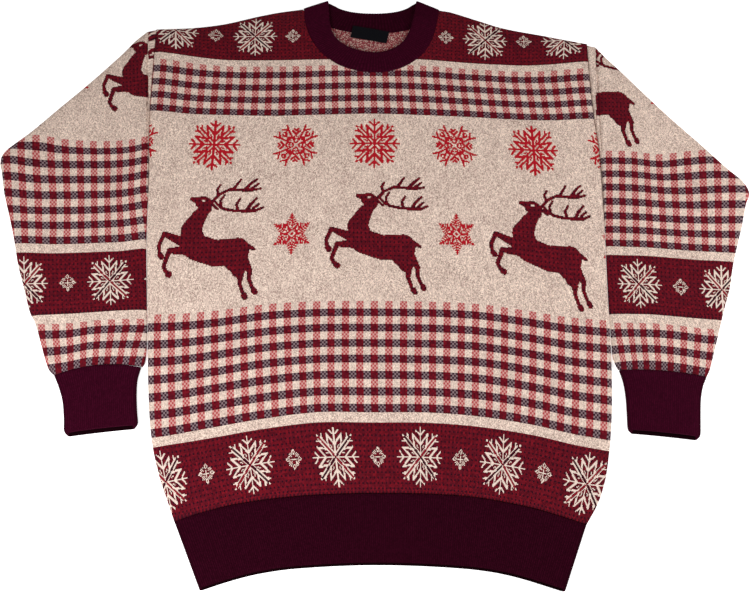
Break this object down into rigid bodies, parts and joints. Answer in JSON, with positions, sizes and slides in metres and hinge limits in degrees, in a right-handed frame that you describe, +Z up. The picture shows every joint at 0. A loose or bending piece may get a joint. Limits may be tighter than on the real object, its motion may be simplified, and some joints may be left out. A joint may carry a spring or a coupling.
{
  "type": "christmas sweater",
  "caption": "Crew-neck jacquard-knit sweater laid flat, with ribbed neckband, cuffs and hem; checks, snowflakes and leaping reindeer in cream and burgundy.",
  "frame": {"origin": "on the surface the sweater lies on, under the middle of its bounding box", "axes": "+Z up, out of the front of the garment; +Y towards the neck; +X towards the sleeve on the right of the view from above"},
  "size_m": [0.909, 0.7186, 0.0089],
  "materials": {
    "jacquard_knit": "soft matte cotton jacquard knit, heathered cream, burgundy and red",
    "plum_rib": "matte 1x1 rib knit, dark plum",
    "label_tape": "woven satin tape, black"
  },
  "bodies": {
    "root": {"front_panel": "jacquard_knit", "back_panel": "jacquard_knit", "sleeve_left": "jacquard_knit", "sleeve_right": "jacquard_knit", "neckband": "plum_rib", "hem_rib": "plum_rib", "cuff_left": "plum_rib", "cuff_right": "plum_rib", "neck_label": "label_tape"}
  },
  "joints": []
}
